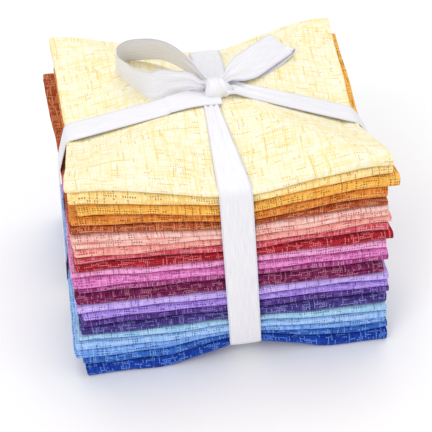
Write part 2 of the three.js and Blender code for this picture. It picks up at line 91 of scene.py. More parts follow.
# One row for each cut from the top of the pile down, with the columns of the CAD model's table. Folds is how
# many folds show on the front of the cut. The left thickness of the two top cuts and the right ends of the
# nine lowest ones are nearer to the photograph than the CAD model's.
CUTS = [
    dict(name="cream", left=0.0, right=0.0, front=0.6, skew=0.0, thick=(3.4, 5.2), folds=1),
    dict(name="lemon", left=-1.0, right=0.7, front=0.1, skew=0.1, thick=(9.2, 5.2), folds=1),
    dict(name="gold", left=-4.6, right=4.2, front=0.6, skew=-0.2, thick=(5.8, 6.9), folds=1),
    dict(name="orange", left=-0.5, right=-1.0, front=0.0, skew=0.0, thick=(5.0, 6.1), folds=1),
    dict(name="rust", left=3.2, right=-3.8, front=-0.1, skew=2.4, thick=(4.8, 3.8), folds=1),
    dict(name="blush", left=0.4, right=-0.5, front=0.7, skew=0.2, thick=(8.0, 6.5), folds=2),
    dict(name="salmon", left=0.0, right=0.2, front=0.1, skew=0.6, thick=(5.6, 4.2), folds=1),
    dict(name="coral", left=-0.6, right=0.0, front=-0.5, skew=-0.3, thick=(3.9, 4.7), folds=1),
    dict(name="crimson", left=0.3, right=1.9, front=0.3, skew=0.4, thick=(4.6, 5.5), folds=1),
    dict(name="shell", left=1.6, right=0.1, front=-0.4, skew=-0.6, thick=(4.0, 4.9), folds=1),
    dict(name="orchid", left=2.1, right=-0.6, front=0.5, skew=0.2, thick=(5.8, 4.2), folds=1),
    dict(name="magenta", left=0.2, right=0.0, front=-0.7, skew=0.5, thick=(3.8, 4.1), folds=1),
    dict(name="wine", left=0.9, right=-1.1, front=0.4, skew=-0.3, thick=(6.3, 6.7), folds=2),
    dict(name="lilac", left=1.7, right=1.2, front=0.2, skew=0.4, thick=(5.7, 5.1), folds=1),
    dict(name="lavender", left=-2.0, right=1.4, front=0.0, skew=-0.5, thick=(4.6, 3.9), folds=1),
    dict(name="violet", left=-0.4, right=1.3, front=-0.6, skew=0.3, thick=(3.8, 4.3), folds=1),
    dict(name="plum", left=1.3, right=0.2, front=0.4, skew=0.5, thick=(5.1, 6.6), folds=1),
    dict(name="aqua", left=1.8, right=1.5, front=0.1, skew=-0.4, thick=(4.1, 4.9), folds=1),
    dict(name="powder", left=4.0, right=1.1, front=0.7, skew=0.2, thick=(5.4, 4.5), folds=1),
    dict(name="sky", left=4.3, right=1.5, front=-0.2, skew=-0.5, thick=(5.4, 3.9), folds=1),
    dict(name="azure", left=1.4, right=2.2, front=-0.6, skew=0.4, thick=(5.3, 3.8), folds=1),
    dict(name="royal", left=0.0, right=2.6, front=0.3, skew=0.0, thick=(6.6, 6.6), folds=1),
]

# The print of each cut, as screen colours from 0 to 1: the ground, the brushed lines, the small dots and the
# finer specks, with how much of the ground the lines cover and how much of it the dots and the specks do.
PRINTS = {
    "cream": dict(
        ground=(0.965, 0.955, 0.885), line=(0.95, 0.87, 0.55), dot=(0.86, 0.70, 0.34),
        speck=(0.95, 0.87, 0.56), lines=0.6, dots=0.12,
    ),
    "lemon": dict(
        ground=(0.99, 0.93, 0.7), line=(0.95, 0.78, 0.42), dot=(0.66, 0.38, 0.14),
        speck=(0.93, 0.72, 0.36), lines=0.75, dots=0.33,
    ),
    "gold": dict(
        ground=(0.97, 0.74, 0.34), line=(0.88, 0.57, 0.2), dot=(0.45, 0.22, 0.06),
        speck=(1.0, 0.87, 0.55), lines=0.65, dots=0.43,
    ),
    "orange": dict(
        ground=(0.9, 0.57, 0.24), line=(0.76, 0.4, 0.14), dot=(0.44, 0.16, 0.05),
        speck=(0.98, 0.76, 0.46), lines=0.65, dots=0.43,
    ),
    "rust": dict(
        ground=(0.62, 0.25, 0.12), line=(0.8, 0.44, 0.26), dot=(0.34, 0.07, 0.03),
        speck=(0.97, 0.7, 0.5), lines=0.55, dots=0.48,
    ),
    "blush": dict(
        ground=(0.97, 0.83, 0.79), line=(0.91, 0.62, 0.58), dot=(0.6, 0.16, 0.16),
        speck=(0.9, 0.56, 0.52), lines=0.65, dots=0.33,
    ),
    "salmon": dict(
        ground=(0.9, 0.54, 0.51), line=(0.97, 0.74, 0.69), dot=(0.56, 0.14, 0.17),
        speck=(0.99, 0.8, 0.76), lines=0.6, dots=0.38,
    ),
    "coral": dict(
        ground=(0.77, 0.27, 0.33), line=(0.9, 0.46, 0.5), dot=(0.44, 0.05, 0.12),
        speck=(0.99, 0.72, 0.75), lines=0.55, dots=0.48,
    ),
    "crimson": dict(
        ground=(0.58, 0.05, 0.13), line=(0.74, 0.18, 0.24), dot=(0.34, 0.0, 0.06),
        speck=(0.96, 0.58, 0.6), lines=0.55, dots=0.48,
    ),
    "shell": dict(
        ground=(0.93, 0.66, 0.84), line=(0.86, 0.46, 0.7), dot=(0.52, 0.12, 0.38),
        speck=(0.99, 0.8, 0.94), lines=0.6, dots=0.43,
    ),
    "orchid": dict(
        ground=(0.9, 0.53, 0.79), line=(0.78, 0.34, 0.64), dot=(0.44, 0.08, 0.34),
        speck=(0.99, 0.74, 0.93), lines=0.55, dots=0.43,
    ),
    "magenta": dict(
        ground=(0.6, 0.2, 0.46), line=(0.78, 0.4, 0.66), dot=(0.24, 0.0, 0.12),
        speck=(0.94, 0.68, 0.84), lines=0.55, dots=0.43,
    ),
    "wine": dict(
        ground=(0.38, 0.06, 0.26), line=(0.58, 0.18, 0.42), dot=(0.18, 0.0, 0.12),
        speck=(0.86, 0.56, 0.66), lines=0.55, dots=0.48,
    ),
    "lilac": dict(
        ground=(0.8, 0.7, 0.95), line=(0.66, 0.54, 0.87), dot=(0.36, 0.24, 0.56),
        speck=(0.91, 0.84, 0.99), lines=0.6, dots=0.38,
    ),
    "lavender": dict(
        ground=(0.68, 0.56, 0.9), line=(0.54, 0.4, 0.78), dot=(0.22, 0.12, 0.44),
        speck=(0.84, 0.75, 0.98), lines=0.55, dots=0.43,
    ),
    "violet": dict(
        ground=(0.29, 0.17, 0.5), line=(0.44, 0.32, 0.66), dot=(0.1, 0.02, 0.24),
        speck=(0.66, 0.56, 0.86), lines=0.55, dots=0.43,
    ),
    "plum": dict(
        ground=(0.22, 0.15, 0.44), line=(0.38, 0.32, 0.62), dot=(0.08, 0.03, 0.24),
        speck=(0.6, 0.66, 0.9), lines=0.55, dots=0.43,
    ),
    "aqua": dict(
        ground=(0.68, 0.83, 0.94), line=(0.48, 0.69, 0.86), dot=(0.18, 0.36, 0.56),
        speck=(0.84, 0.93, 0.99), lines=0.6, dots=0.38,
    ),
    "powder": dict(
        ground=(0.66, 0.8, 0.96), line=(0.46, 0.64, 0.89), dot=(0.12, 0.24, 0.54),
        speck=(0.8, 0.9, 1.0), lines=0.6, dots=0.33,
    ),
    "sky": dict(
        ground=(0.56, 0.73, 0.95), line=(0.33, 0.52, 0.84), dot=(0.08, 0.2, 0.5),
        speck=(0.76, 0.88, 1.0), lines=0.65, dots=0.33,
    ),
    "azure": dict(
        ground=(0.23, 0.44, 0.78), line=(0.13, 0.31, 0.66), dot=(0.02, 0.08, 0.36),
        speck=(0.6, 0.78, 0.98), lines=0.55, dots=0.38,
    ),
    "royal": dict(
        ground=(0.06, 0.19, 0.58), line=(0.14, 0.32, 0.74), dot=(0.02, 0.08, 0.36),
        speck=(0.5, 0.7, 0.98), lines=0.55, dots=0.43,
    ),
}

# The bow's loops: x and y on the pile, rise of the ribbon's middle above the knot's seat, lean of its width
# from level in degrees, and its width there. The rows are the CAD model's, with one more inside the knot at
# each end, and with the far strand of the left loop lifted.
LEFT_LOOP = [
    (-1, 0.2, 5.6, 82, 5),
    (-4.4, 0.6, 6.2, 82, 5.6),
    (-9.2, 3.6, 6.8, 78, 9.8),
    (-15.6, 6, 5.4, 74, 13),
    (-21.8, 6.8, 4.5, 70, 15.9),
    (-27.6, 7.4, 3.5, 70, 15.9),
    (-33.4, 12, 4.1, 86, 15.9),
    (-38, 18.4, 5, 82, 15.9),
    (-42, 25.6, 5.7, 82, 15.9),
    (-43.2, 32, 6.8, 98, 15.9),
    (-38.4, 36.8, 8.5, 108, 15.9),
    (-30, 38.2, 8.4, 108, 15.9),
    (-20.4, 34.4, 9.2, 110, 15.9),
    (-13.2, 27.4, 8.8, 76, 14.4),
    (-6.8, 17, 7.8, 82, 10.6),
    (-1.4, 6.4, 6.1, 90, 5.6),
    (0.2, 3.4, 5.6, 90, 5),
]
RIGHT_LOOP = [
    (7, 1.6, 5.6, 8, 5),
    (10.3, 4, 6.3, 12, 5.6),
    (15.6, 9.4, 5.4, 26, 12),
    (22.6, 16.4, 4.8, 30, 15.9),
    (31, 24.6, 4.6, 32, 15.9),
    (38.6, 32, 4.4, 32, 15.9),
    (43.4, 36.8, 3.8, 26, 15.9),
    (44.6, 38, 2.5, 18, 15.9),
    (42, 35.4, 1.3, 16, 15.9),
    (34.6, 28, 0.9, 20, 15.9),
    (26.6, 20.2, 1, 20, 14),
    (19, 12.8, 2, 14, 10),
    (11.9, 5.8, 4.2, 4, 5.2),
    (8.2, 2.6, 4.6, 4, 4.6),
]

# The camera, found by fitting the pile's corners and the ribbon's crossings to the photograph
CAMERA = dict(
    distance=685,
    azimuth=-7.3,
    elevation=36.6,
    roll=-2.25,
    focal_pixels=1300,
    target=(0.3, -7.9, 44.4),
)
IMAGE_SIZE = 432


def cad_shift():
    """How far the CAD model moved the bundle to centre it, from the knot's place."""
    low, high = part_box("ribbon_knot")
    middle = (low + high) * 500
    return np.array([middle.x - KNOT["x"], middle.y - KNOT["y"], 0])


SHIFT = cad_shift()


def metres(points):
    return (np.asarray(points, float) + SHIFT) / 1000


# Where the ribbon runs and how it squeezes the pile


def front_band_x(y, z):
    top = FRONT_BAND["top_x"] + FRONT_BAND["top_drift"] * y / HALF_DEPTH
    bottom = FRONT_BAND["bottom_x"] + FRONT_BAND["bottom_drift"] * y / HALF_DEPTH
    return bottom + (top - bottom) * z / PILE_HEIGHT


def side_band_y(x):
    """Where the side-to-side band presses the pile.

    Under the knot it passes from one strand's line to the other's.
    """
    start = SIDE_BAND["right_start_x"]
    across = np.clip((x - KNOT["x"] + BAND_HALF) / (start - KNOT["x"] + BAND_HALF), 0, 1)
    right = SIDE_BAND["right_y"] + SIDE_BAND["right_slope"] * np.maximum(0, x - start)
    return SIDE_BAND["left_y"] + across * (right - SIDE_BAND["left_y"])


def share_out(place, band_place, rim):
    """The share of the way from a band's edge out to the rim of the pile, 0 to 1."""
    distance = np.clip(place, -rim, rim) - band_place
    reach = rim - np.sign(distance) * band_place
    return np.maximum(0, np.abs(distance) - BAND_HALF) / (reach - BAND_HALF)


def lift_share(distance):
    return np.maximum(0, 1 - np.maximum(0, np.abs(distance) - BAND_HALF) / LIFT_REACH)


def soft_size(difference):
    """The size of a number with its corner at nought rounded, still 1 at 1."""
    rounded = np.sqrt(difference**2 + RIDGE_SOFTNESS**2) - RIDGE_SOFTNESS
    return rounded / (math.sqrt(1 + RIDGE_SOFTNESS**2) - RIDGE_SOFTNESS)


def squeeze(x, y, z):
    """Moves a point of the level pile to where the tied ribbon presses it."""
    t = z / PILE_HEIGHT
    band_x = front_band_x(y, z)
    band_y = side_band_y(x)
    top_share = np.clip((t - 1 + TOP_REACH) / TOP_REACH, 0, None) ** TOP_FADE
    bottom_share = np.clip(1 - t / BOTTOM_REACH, 0, None) ** BOTTOM_FADE
    out_x = share_out(x, band_x, RIM_X)
    out_y = share_out(y, band_y, RIM_Y)
    lift_x = lift_share(x - band_x)
    lift_y = lift_share(y - band_y)
    groove = BOTTOM_GROOVE * np.maximum(lift_x, lift_y)
    edge_lift = BOTTOM_LIFT * np.maximum(lift_x * out_y, lift_y * out_x)
    dip = TOP_DIP * soft_size(out_x - out_y) * top_share
    lean = SIDE_LEAN * z * x / HALF_WIDTH
    pull = EDGE_PULL * top_share
    return np.stack(
        [
            x - np.sign(x - band_x) * pull * np.maximum(0, out_x - out_y),
            y - np.sign(y - band_y) * pull * np.maximum(0, out_y - out_x),
            z - lean - dip + np.maximum(groove, edge_lift) * bottom_share,
        ],
        axis=-1,
    )


# The level pile


def running_heights(side):
    thick = np.array([cut["thick"][side] for cut in CUTS])
    return PILE_HEIGHT - np.cumsum(thick) / thick.sum() * PILE_HEIGHT


UNDERSIDE = [running_heights(0), running_heights(1)]

WAVES = dict(count=4, height=0.34, shortest=26, longest=80)


def soft_wave(seed, x, y):
    """A gentle unevenness of one surface in the pile, in mm."""
    rng = np.random.default_rng(seed)
    total = 0
    for _ in range(WAVES["count"]):
        angle, phase = rng.uniform(0, 2 * math.pi, 2)
        length = rng.uniform(WAVES["shortest"], WAVES["longest"])
        along = x * math.cos(angle) + y * math.sin(angle)
        total = total + np.sin(2 * math.pi * along / length + phase)
    return WAVES["height"] * total / math.sqrt(WAVES["count"])


PUCKER = dict(height=0.55, reach=34, count=9, middle=16, twist=11, clear=9)
TOP_UNEVEN = 0.6
TOP_SEED = 99


def pucker(x, y):
    """The small creases of the top cloth that run out from the knot."""
    across, along = x - KNOT["x"], y - KNOT["y"]
    distance = np.hypot(across, along)
    angle = np.arctan2(along, across)
    near = np.exp(-((distance - PUCKER["middle"]) ** 2) / (2 * (PUCKER["reach"] / 2) ** 2))
    rays = np.sin(PUCKER["count"] * angle + distance / PUCKER["twist"])
    return PUCKER["height"] * near * rays * np.clip(distance / PUCKER["clear"], 0, 1)


def surface_height(index, x, y):
    """Height in the level pile of the underside of a cut, or of the pile's top for index -1."""
    if index < 0:
        return PILE_HEIGHT + soft_wave(TOP_SEED, x, y) * TOP_UNEVEN + pucker(x, y) * TOP_UNEVEN
    across = x / FOLDED_WIDTH + 0.5
    uneven = UNDERSIDE[0][index] * (1 - across) + UNDERSIDE[1][index] * across
    even = PILE_HEIGHT * (1 - (index + 1) / len(CUTS))
    forward = 0.6 - 0.4 * y / HALF_DEPTH
    height = even + (uneven - even) * forward
    if index == len(CUTS) - 1:
        return height
    return height + soft_wave(index, x, y)


# The folded cuts

# A fold's nose reaches out by its half height times NOSE. A squareness of 1 is round, and less is squarer.
NOSE = 1.0
NOSE_SQUARENESS = 0.72
NEST_ROOM = 1.2
RAW_SETBACK = 1.0
PLY_FILL = 0.36
PLY_FOLD_RADIUS = 0.32
ROWS_PER_LAYER = 18
COLUMNS_PER_PLY = 22
ROWS_PER_FOLD = {0.375: 11, 0.125: 7}
COLUMNS_PER_FOLD = 5


def fold_rows(folds, thickness):
    """The rows of a folded cut, from its lower raw end to the other.

    Each row has its share of the way from front to back, the insets from both that it goes by, a step past
    them, the height in the cut from 0 to 1, the direction in which plies lie outwards of the layer's middle,
    and the place in the flat cloth.
    """
    order = [0, 3, 2, 1] if folds == 1 else [0, 1, 2, 3]
    levels = [(layer + 0.5) / LAYERS for layer in order]
    centres = []
    for a, b in zip(levels, levels[1:]):
        nested = folds == 1 and {a, b} == {0.375, 0.625}
        inset = (0.5 if nested else abs(a - b) / 2 + 0.125) * thickness * NOSE
        centres.append(inset + (NEST_ROOM if nested else 0))
    rows = []
    flat = 0.0
    layer_length = CUT_LENGTH / LAYERS
    for k, level in enumerate(levels):
        forwards = k % 2 == 0
        before = centres[k - 1] if k > 0 else RAW_SETBACK
        after = centres[k] if k < LAYERS - 1 else RAW_SETBACK
        front, back = (after, before) if forwards else (before, after)
        for i in range(ROWS_PER_LAYER):
            t = i / (ROWS_PER_LAYER - 1)
            share = 1 - t if forwards else t
            outward = (0, -1 if forwards else 1)
            rows.append((share, front, back, 0, level, *outward, flat + t * layer_length))
        flat += layer_length
        if k < LAYERS - 1:
            middle = (level + levels[k + 1]) / 2
            rise = level - middle
            side = -1 if forwards else 1
            count = ROWS_PER_FOLD[round(abs(rise), 3)]
            fold_length = math.pi * (abs(rise) + 0.125) * thickness
            for i in range(1, count - 1):
                angle = math.pi * i / (count - 1)
                place = flat + fold_length * i / (count - 1)
                step = side * abs(rise) * thickness * NOSE * math.sin(angle) ** NOSE_SQUARENESS
                squared = math.copysign(abs(math.cos(angle)) ** NOSE_SQUARENESS, math.cos(angle))
                turned = middle + rise * squared
                outward = (math.copysign(math.sin(angle), rise), side * math.cos(angle))
                share = 0 if forwards else 1
                rows.append((share, after, after, step, turned, *outward, place))
            flat += fold_length
    return np.array(rows).T


def ply_columns():
    """The columns of a folded cut, from one raw edge to the other, as the cloth lies in three across.

    Each column has its share of the width, a step past the end, the ply that it lies in (1, 0 or -1), the
    normal of the cloth there, and the place in the flat cloth.
    """
    columns = []
    for ply in range(PLIES):
        rightwards = ply % 2 == 0
        for i in range(COLUMNS_PER_PLY):
            t = i / (COLUMNS_PER_PLY - 1)
            share = t if rightwards else 1 - t
            columns.append((share, 0, 1 - ply, 0, 1 if rightwards else -1, (ply + t) * FOLDED_WIDTH))
        if ply < PLIES - 1:
            side = 1 if rightwards else -1
            for i in range(1, COLUMNS_PER_FOLD - 1):
                angle = math.pi * i / (COLUMNS_PER_FOLD - 1)
                step = side * PLY_FOLD_RADIUS * math.sin(angle)
                place = 0.5 - ply + 0.5 * math.cos(angle)
                share = 1 if rightwards else 0
                normal = (math.sin(angle), side * math.cos(angle))
                columns.append((share, step, place, *normal, (ply + 1) * FOLDED_WIDTH))
    return np.array(columns).T


END_JITTER = dict(size=0.75, length=46)
FRONT_WAVE = dict(size=0.42, long=88, short=31, back=60)


def cut_surface(index, side):
    """One face of a folded cut's cloth as a grid of places in mm, with their places in the flat cloth."""
    cut = CUTS[index]
    rng = np.random.default_rng(1000 + index)
    phases = rng.uniform(0, 2 * math.pi, 8)
    thickness = sum(cut["thick"]) / 2 - CUT_GAP
    rows = (row[:, None] for row in fold_rows(cut["folds"], thickness))
    share, front, back, step, level, out_y, out_s, flat_y = rows
    across, past, ply, normal_x, normal_ply, flat_x = (column[None, :] for column in ply_columns())

    ply = ply + side * PLY_FILL * normal_ply
    past = past + side * PLY_FILL * normal_x * PLY_FOLD_RADIUS
    skew = math.tan(math.radians(cut["skew"]))
    rough_y = -HALF_DEPTH + share * FOLDED_DEPTH
    turns = 2 * math.pi * flat_y / END_JITTER["length"]
    left_in = END_JITTER["size"] * (1 + np.sin(turns + phases[0])) / 2
    right_in = END_JITTER["size"] * (1 + np.sin(turns + phases[1])) / 2
    left = -HALF_WIDTH - cut["left"] - rough_y * skew + left_in
    right = HALF_WIDTH + cut["right"] - rough_y * skew - right_in
    left = left + PLY_FOLD_RADIUS
    right = right - PLY_FOLD_RADIUS
    x = left + (right - left) * across + past

    wave = np.sin(2 * math.pi * x / FRONT_WAVE["long"] + phases[2])
    wave = wave + 0.6 * np.sin(2 * math.pi * x / FRONT_WAVE["short"] + phases[3])
    front_y = -HALF_DEPTH - cut["front"] + FRONT_WAVE["size"] * wave
    back_wave = np.sin(2 * math.pi * x / FRONT_WAVE["back"] + phases[4])
    back_y = HALF_DEPTH - cut["front"] / 2 + FRONT_WAVE["size"] * back_wave
    y = (1 - share) * (front_y + front) + share * (back_y - back) + step
    ply_share = 1 / (PLIES * LAYERS)
    y = y + out_y * ply * ply_share * thickness * NOSE
    s = level + out_s * ply * ply_share

    low = surface_height(index, x, y) + (CUT_GAP if index < len(CUTS) - 1 else 0)
    high = surface_height(index - 1, x, y)
    z = low + (high - low) * s
    flat = np.stack(np.broadcast_arrays(flat_x, flat_y), axis=-1)
    return squeeze(x, y, z), flat


def thin_sheet(name, upper, lower, flat):
    """A mesh object of thin cloth from the grids of its two faces. Its UV map is the flat cloth in metres."""
    rows, columns = upper.shape[:2]
    count = rows * columns
    points = np.concatenate([upper.reshape(-1, 3), lower.reshape(-1, 3)])
    corner = np.arange(count).reshape(rows, columns)
    quads = np.stack([corner[:-1, :-1], corner[:-1, 1:], corner[1:, 1:], corner[1:, :-1]], axis=-1)
    quads = quads.reshape(-1, 4)
    rim = np.concatenate([corner[0, :-1], corner[:-1, -1], corner[-1, :0:-1], corner[:0:-1, 0]])
    around = np.roll(rim, -1)
    rims = np.stack([around, rim, rim + count, around + count], axis=-1)
    faces = np.concatenate([quads, quads[:, ::-1] + count, rims])

    mesh = bpy.data.meshes.new(name)
    mesh.from_pydata(metres(points).tolist(), [], faces.tolist())
    uv = mesh.uv_layers.new(name="flat_cloth")
    corners = np.empty(len(mesh.loops), dtype=int)
    mesh.loops.foreach_get("vertex_index", corners)
    places = np.concatenate([flat.reshape(-1, 2), flat.reshape(-1, 2)]) / 1000
    uv.data.foreach_set("uv", places[corners].ravel())
    mesh.polygons.foreach_set("use_smooth", [True] * len(mesh.polygons))
    mesh.set_sharp_from_angle(angle=math.radians(70))
    mesh.validate()
    piece = bpy.data.objects.new(name, mesh)
    bpy.context.scene.collection.objects.link(piece)
    return piece


def folded_cut(index):
    name = CUTS[index]["name"]
    upper, flat = cut_surface(index, 1)
    lower, _ = cut_surface(index, -1)
    piece = thin_sheet(f"folded_{index + 1:02d}_{name}", upper, lower, flat)
    piece.data.materials.append(cotton(name, PRINTS[name], index))
    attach(piece, "root")
    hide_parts(f"cut_{index + 1:02d}_{name}")
    return piece, np.concatenate([upper.reshape(-1, 3), lower.reshape(-1, 3)])


# The ribbon

BAND_OFF = 0.5
BAND_STEP = 1.6
BESIDE_BAND = 1.2
CLIMB_TO_KNOT = 14
LAID_OVER = 26
RIBBON_COLUMNS = 15


def hull(points):
    """The outer hull of points in a plane, walked clockwise from the lowest x."""

    def chain(ordered):
        kept = []
        for p in ordered:
            while len(kept) > 1:
                a, b = kept[-1] - kept[-2], p - kept[-2]
                if a[0] * b[1] - a[1] * b[0] < -1e-9:
                    break
                kept.pop()
            kept.append(p)
        return kept[:-1]

    ordered = points[np.lexsort((points[:, 1], points[:, 0]))]
    return np.array(chain(ordered) + chain(ordered[::-1]))


def resampled(path, step):
    """Places along an open path at an even step, with the distance along it of each."""
    lengths = np.concatenate([[0], np.cumsum(np.linalg.norm(np.diff(path, axis=0), axis=1))])
    count = max(2, int(round(lengths[-1] / step)) + 1)
    along = np.linspace(0, lengths[-1], count)
    places = [np.interp(along, lengths, path[:, k]) for k in range(path.shape[1])]
    return np.stack(places, axis=-1), along


def smoothed(path, rounds):
    for _ in range(rounds):
        path[1:-1] = (path[:-2] + 2 * path[1:-1] + path[2:]) / 4
    return path


def band_path(points, start, end):
    """The way of a band round the pile in its plane, from start on the top, down, under, up and to end."""
    outline = hull(points)
    closed = np.vstack([outline, outline[:1]])
    dense, _ = resampled(closed, 0.4)
    dense = dense[:-1]
    top = dense[:, 1] > PILE_HEIGHT / 2
    first = np.argmin(np.where(top, np.abs(dense[:, 0] - start), np.inf))
    dense = np.roll(dense, -first, axis=0)
    beyond = (dense[:, 0] > end) & (dense[:, 1] > PILE_HEIGHT / 2)
    beyond[: len(dense) // 2] = False
    path, along = resampled(dense[~beyond], BAND_STEP)
    path = smoothed(path, 1)
    tangent = np.gradient(path, axis=0)
    tangent /= np.linalg.norm(tangent, axis=1)[:, None]
    outward = np.stack([-tangent[:, 1], tangent[:, 0]], axis=-1)
    if (outward[0] @ (path[0] - path.mean(axis=0))) < 0:
        outward = -outward
    return path, outward, along


def smooth_step(t):
    t = np.clip(t, 0, 1)
    return t * t * (3 - 2 * t)


def ribbon_strip(name, places, across, normal, widths, pleats, along):
    """A strip of ribbon through places, with pleats in mm of depth that run along it."""
    u = np.linspace(-0.5, 0.5, RIBBON_COLUMNS)[None, :, None]
    fold = pleats[:, None] * np.cos(u[..., 0] * 5 * math.pi)
    crown = 0.25 * (1 - (2 * u[..., 0]) ** 2)
    middle = places[:, None] + across[:, None] * u * widths[:, None, None]
    middle = middle + normal[:, None] * (fold + crown)[..., None]
    upper = middle + normal[:, None] * RIBBON_THICK / 2
    lower = middle - normal[:, None] * RIBBON_THICK / 2
    flat = np.stack(np.broadcast_arrays((u[..., 0] + 0.5) * RIBBON_WIDTH, along[:, None]), axis=-1)
    return ribbon_piece(name, thin_sheet(name, upper, lower, flat))


def ribbon_piece(name, piece):
    piece.data.materials.append(satin())
    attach(piece, "root")
    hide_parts(name.replace("satin", "ribbon"))
    return piece


KNOT_PLEAT = dict(depth=0.7, near=3, far=26)
RIGHT_STRAND = dict(width=0.86, pleat=0.75, reach=42, lift=2.2)
FRONT_STRAND = dict(end_y=-7, width=0.4, sideways=-4.9, reach=60, pleat=0.5)
BACK_STRAND = dict(start_y=3, width=0.72, reach=40, lift=1.6)


def gathered(distance):
    """How much of its own width and flatness a loop has at a distance from the knot, 0 to 1."""
    return smooth_step((distance - KNOT_PLEAT["near"]) / (KNOT_PLEAT["far"] - KNOT_PLEAT["near"]))


def side_band(cloth):
    """The band from side to side: a flat left strand that ends under the knot, and a creased right strand."""
    near = np.abs(cloth[:, 1] - side_band_y(cloth[:, 0])) < RIBBON_WIDTH / 2 + BESIDE_BAND
    start = KNOT["x"] + KNOT["half_x"] / 2
    path, outward, along = band_path(cloth[near][:, [0, 2]], start, SIDE_BAND["left_end_x"])
    on_left_top = (along > along[-1] / 2) & (path[:, 1] > PILE_HEIGHT / 2)
    to_end = along[-1] - along
    y = np.where(on_left_top, SIDE_BAND["left_y"], side_band_y(path[:, 0]))
    tight = 1 - np.clip(along / RIGHT_STRAND["reach"], 0, 1)
    climb = RIGHT_STRAND["lift"] * (1 - smooth_step(along / CLIMB_TO_KNOT))
    out = BAND_OFF + climb + 2 * RIBBON_THICK * (to_end < LAID_OVER)
    zero = np.zeros(len(path))
    places = np.stack([path[:, 0], y, path[:, 1]], axis=-1)
    normal = np.stack([outward[:, 0], zero, outward[:, 1]], axis=-1)
    across = np.tile([0.0, 1.0, 0.0], (len(path), 1))
    widths = RIBBON_WIDTH * (1 - (1 - RIGHT_STRAND["width"]) * tight)
    pleats = RIGHT_STRAND["pleat"] * tight
    places = places + normal * out[:, None]
    return ribbon_strip("satin_side_band", places, across, normal, widths, pleats, along)


def front_band(cloth):
    """The band from front to back. Its front strand is narrow at the knot and opens towards the edge."""
    off = cloth[:, 0] - front_band_x(cloth[:, 1], cloth[:, 2])
    near = np.abs(off) < RIBBON_WIDTH / 2 + BESIDE_BAND
    plane = cloth[near][:, [1, 2]]
    path, outward, along = band_path(plane, BACK_STRAND["start_y"], FRONT_STRAND["end_y"])
    to_end = along[-1] - along
    tight_back = 1 - np.clip(along / BACK_STRAND["reach"], 0, 1)
    tight_front = 1 - np.clip(to_end / FRONT_STRAND["reach"], 0, 1)
    side_y = side_band_y(KNOT["x"])
    below = (path[:, 1] < PILE_HEIGHT / 4) & (np.abs(path[:, 0] - side_y) < RIBBON_WIDTH)
    climb = BACK_STRAND["lift"] * (1 - smooth_step(along / CLIMB_TO_KNOT))
    out = BAND_OFF + climb + np.where(below, 2 * RIBBON_THICK, 0)
    zero = np.zeros(len(path))
    x = front_band_x(path[:, 0], path[:, 1]) + FRONT_STRAND["sideways"] * tight_front
    places = np.stack([x, path[:, 0], path[:, 1]], axis=-1)
    normal = np.stack([zero, outward[:, 0], outward[:, 1]], axis=-1)
    across = np.tile([1.0, 0.0, 0.0], (len(path), 1))
    narrowed = (1 - FRONT_STRAND["width"]) * tight_front + (1 - BACK_STRAND["width"]) * tight_back
    widths = RIBBON_WIDTH * (1 - narrowed)
    pleats = FRONT_STRAND["pleat"] * (tight_front + tight_back)
    places = places + normal * out[:, None]
    return ribbon_strip("satin_front_band", places, across, normal, widths, pleats, along)


def curve_through(values, count):
    """A smooth curve through rows of values, at even steps of its parameter."""
    values = np.asarray(values, float)
    padded = np.vstack([2 * values[0] - values[1], values, 2 * values[-1] - values[-2]])
    result = []
    for t in np.linspace(0, len(values) - 1, count):
        i = min(int(t), len(values) - 2)
        f = t - i
        a, b, c, d = padded[i : i + 4]
        square = (2 * a - 5 * b + 4 * c - d) * f**2
        cube = (3 * b - a - 3 * c + d) * f**3
        result.append(0.5 * (2 * b + (c - a) * f + square + cube))
    return np.array(result)


LOOP_STATIONS = 110
TURN_LENGTH = 2.5


def knot_seat():
    return squeeze(np.array(KNOT["x"]), np.array(KNOT["y"]), np.array(PILE_HEIGHT - 0.8))[2]


def bow_loop(name, table):
    seat = knot_seat()
    places = np.array([(x, y, seat + rise) for x, y, rise, _, _ in table])
    directions = []
    for i, (x, y, _, lean, _) in enumerate(table):
        before, after = places[max(0, i - 1)], places[min(len(places) - 1, i + 1)]
        flat_along = after[:2] - before[:2]
        if np.linalg.norm(flat_along) < TURN_LENGTH:
            flat_along = np.array([x - KNOT["x"], y - KNOT["y"]])
        level = np.array([-flat_along[1], flat_along[0]]) / np.linalg.norm(flat_along)
        level = level * (-1 if level[1] - level[0] < 0 else 1) * math.cos(math.radians(lean))
        directions.append((level[0], level[1], math.sin(math.radians(lean))))
    widths = [row[4] for row in table]
    curve = curve_through(np.column_stack([places, directions, widths]), LOOP_STATIONS)
    middle, across, widths = curve[:, :3], curve[:, 3:6], curve[:, 6]
    tangent = np.gradient(middle, axis=0)
    tangent /= np.linalg.norm(tangent, axis=1)[:, None]
    across -= tangent * np.sum(across * tangent, axis=1)[:, None]
    across /= np.linalg.norm(across, axis=1)[:, None]
    normal = np.cross(tangent, across)
    along = np.concatenate([[0], np.cumsum(np.linalg.norm(np.diff(middle, axis=0), axis=1))])
    distance = np.minimum(along, along[-1] - along)
    pleats = KNOT_PLEAT["depth"] * (1 - gathered(distance))
    return ribbon_strip(name, middle, across, normal, np.minimum(widths, RIBBON_WIDTH), pleats, along)


KNOT_WRAP = dict(rows=40, columns=25, start=-24, end=204, half_width=5.6, flare=1.9, pleat=0.32, count=3.5)


